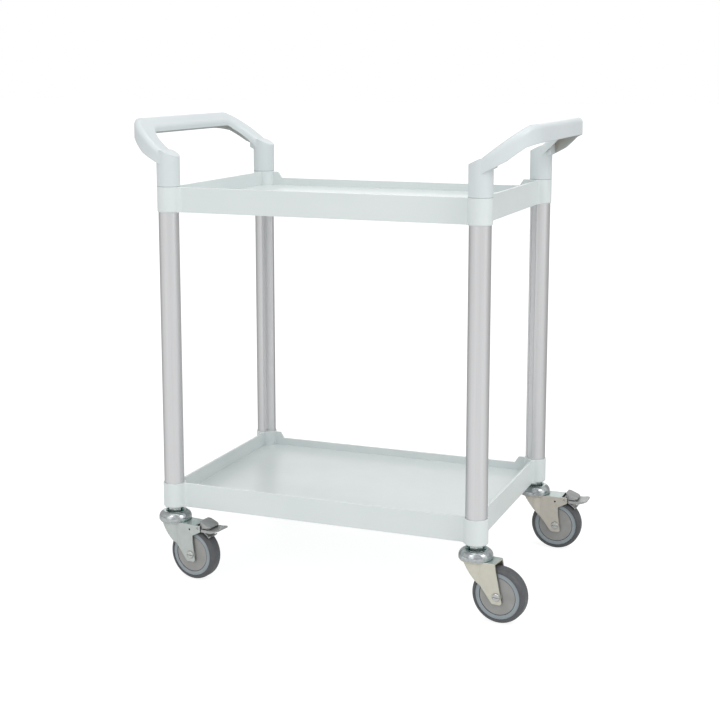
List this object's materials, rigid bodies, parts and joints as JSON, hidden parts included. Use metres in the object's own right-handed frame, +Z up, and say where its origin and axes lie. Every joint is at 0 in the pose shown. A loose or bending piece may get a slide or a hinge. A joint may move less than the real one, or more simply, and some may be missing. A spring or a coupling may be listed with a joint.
{
  "type": "serving trolley",
  "caption": "Serving trolley with stacked moulded tray shelves on round aluminium posts, bow handles on the short ends and swivel castors with pedal brakes.",
  "frame": {"origin": "on the floor, midway between the four post axes", "axes": "+X along the long side, to the right seen from the front; +Y to the back; +Z up"},
  "size_m": [0.8032, 0.4803, 0.87],
  "materials": {
    "tray_plastic": "satin moulded",
    "handle_plastic": "satin moulded",
    "plug_plastic": "moulded",
    "post_aluminium": "satin anodised",
    "stem_steel": "zinc plated",
    "cap_steel": "zinc plated",
    "ball_steel": "polished",
    "front_left_fork_steel": "zinc plated",
    "front_right_fork_steel": "zinc plated",
    "back_right_fork_steel": "zinc plated",
    "back_left_fork_steel": "zinc plated",
    "tread_rubber": "moulded",
    "wheel_plastic": "moulded",
    "disc_plastic": "moulded",
    "bush_steel": "plain",
    "axle_steel": "zinc plated",
    "pedal_steel": "zinc plated",
    "shoe_steel": "zinc plated"
  },
  "bodies": {
    "frame": {"upper_tray": "tray_plastic", "lower_tray": "tray_plastic", "post_front_left": "post_aluminium", "post_front_right": "post_aluminium", "post_back_right": "post_aluminium", "post_back_left": "post_aluminium", "handle_left": "handle_plastic", "handle_right": "handle_plastic", "castor_inserts": "plug_plastic", "post_foot_plugs": "plug_plastic", "post_head_plugs": "plug_plastic", "castor_front_left_stem": "stem_steel", "castor_front_left_cap": "cap_steel", "castor_front_left_balls": "ball_steel", "castor_front_right_stem": "stem_steel", "castor_front_right_cap": "cap_steel", "castor_front_right_balls": "ball_steel", "castor_back_right_stem": "stem_steel", "castor_back_right_cap": "cap_steel", "castor_back_right_balls": "ball_steel", "castor_back_left_stem": "stem_steel", "castor_back_left_cap": "cap_steel", "castor_back_left_balls": "ball_steel"},
    "swivel_front_left": {"castor_front_left_fork": "front_left_fork_steel", "castor_front_left_dust_discs": "disc_plastic", "castor_front_left_bush": "bush_steel", "castor_front_left_axle": "axle_steel", "castor_front_left_brake_pin": "axle_steel"},
    "wheel_front_left": {"castor_front_left_tyre": "tread_rubber", "castor_front_left_wheel_core": "wheel_plastic"},
    "pedal_front_left": {"castor_front_left_pedal": "pedal_steel"},
    "shoe_front_left": {"castor_front_left_brake_shoe": "shoe_steel"},
    "swivel_front_right": {"castor_front_right_fork": "front_right_fork_steel", "castor_front_right_dust_discs": "disc_plastic", "castor_front_right_bush": "bush_steel", "castor_front_right_axle": "axle_steel"},
    "wheel_front_right": {"castor_front_right_tyre": "tread_rubber", "castor_front_right_wheel_core": "wheel_plastic"},
    "swivel_back_right": {"castor_back_right_fork": "back_right_fork_steel", "castor_back_right_dust_discs": "disc_plastic", "castor_back_right_bush": "bush_steel", "castor_back_right_axle": "axle_steel", "castor_back_right_brake_pin": "axle_steel"},
    "wheel_back_right": {"castor_back_right_tyre": "tread_rubber", "castor_back_right_wheel_core": "wheel_plastic"},
    "pedal_back_right": {"castor_back_right_pedal": "pedal_steel"},
    "shoe_back_right": {"castor_back_right_brake_shoe": "shoe_steel"},
    "swivel_back_left": {"castor_back_left_fork": "back_left_fork_steel", "castor_back_left_dust_discs": "disc_plastic", "castor_back_left_bush": "bush_steel", "castor_back_left_axle": "axle_steel"},
    "wheel_back_left": {"castor_back_left_tyre": "tread_rubber", "castor_back_left_wheel_core": "wheel_plastic"}
  },
  "joints": [
    {"name": "front_left_swivel", "type": "hinge", "parent": "frame", "child": "swivel_front_left", "pos_m": [-0.3, -0.2065, 0.11], "axis": [0, 0, 1], "continuous": true},
    {"name": "front_left_roll", "type": "hinge", "parent": "swivel_front_left", "child": "wheel_front_left", "pos_m": [-0.25305, -0.21369, 0.05], "axis": [0.1513, 0.9885, 0], "continuous": true},
    {"name": "front_left_pedal", "type": "hinge", "parent": "swivel_front_left", "child": "pedal_front_left", "pos_m": [-0.23525, -0.21641, 0.1045], "axis": [0.1513, 0.9885, 0], "range_deg": [0, 14]},
    {"name": "front_left_shoe", "type": "hinge", "parent": "swivel_front_left", "child": "shoe_front_left", "pos_m": [-0.24662, -0.21467, 0.1055], "axis": [0.1513, 0.9885, 0], "range_deg": [0, 2.5]},
    {"name": "front_right_swivel", "type": "hinge", "parent": "frame", "child": "swivel_front_right", "pos_m": [0.3, -0.2065, 0.11], "axis": [0, 0, 1], "continuous": true},
    {"name": "front_right_roll", "type": "hinge", "parent": "swivel_front_right", "child": "wheel_front_right", "pos_m": [0.34714, -0.21237, 0.05], "axis": [0.1236, 0.9923, 0], "continuous": true},
    {"name": "back_right_swivel", "type": "hinge", "parent": "frame", "child": "swivel_back_right", "pos_m": [0.3, 0.2065, 0.11], "axis": [0, 0, 1], "continuous": true},
    {"name": "back_right_roll", "type": "hinge", "parent": "swivel_back_right", "child": "wheel_back_right", "pos_m": [0.34749, 0.20725, 0.05], "axis": [-0.0157, 0.9999, 0], "continuous": true},
    {"name": "back_right_pedal", "type": "hinge", "parent": "swivel_back_right", "child": "pedal_back_right", "pos_m": [0.36549, 0.20753, 0.1045], "axis": [-0.0157, 0.9999, 0], "range_deg": [0, 14]},
    {"name": "back_right_shoe", "type": "hinge", "parent": "swivel_back_right", "child": "shoe_back_right", "pos_m": [0.35399, 0.20735, 0.1055], "axis": [-0.0157, 0.9999, 0], "range_deg": [0, 2.5]},
    {"name": "back_left_swivel", "type": "hinge", "parent": "frame", "child": "swivel_back_left", "pos_m": [-0.3, 0.2065, 0.11], "axis": [0, 0, 1], "continuous": true},
    {"name": "back_left_roll", "type": "hinge", "parent": "swivel_back_left", "child": "wheel_back_left", "pos_m": [-0.25262, 0.20319, 0.05], "axis": [0.0698, 0.9976, 0], "continuous": true}
  ],
  "couplings": [
    {"joint": "front_left_shoe", "follows": "front_left_pedal", "ratio": 0.17},
    {"joint": "back_right_shoe", "follows": "back_right_pedal", "ratio": 0.17}
  ]
}
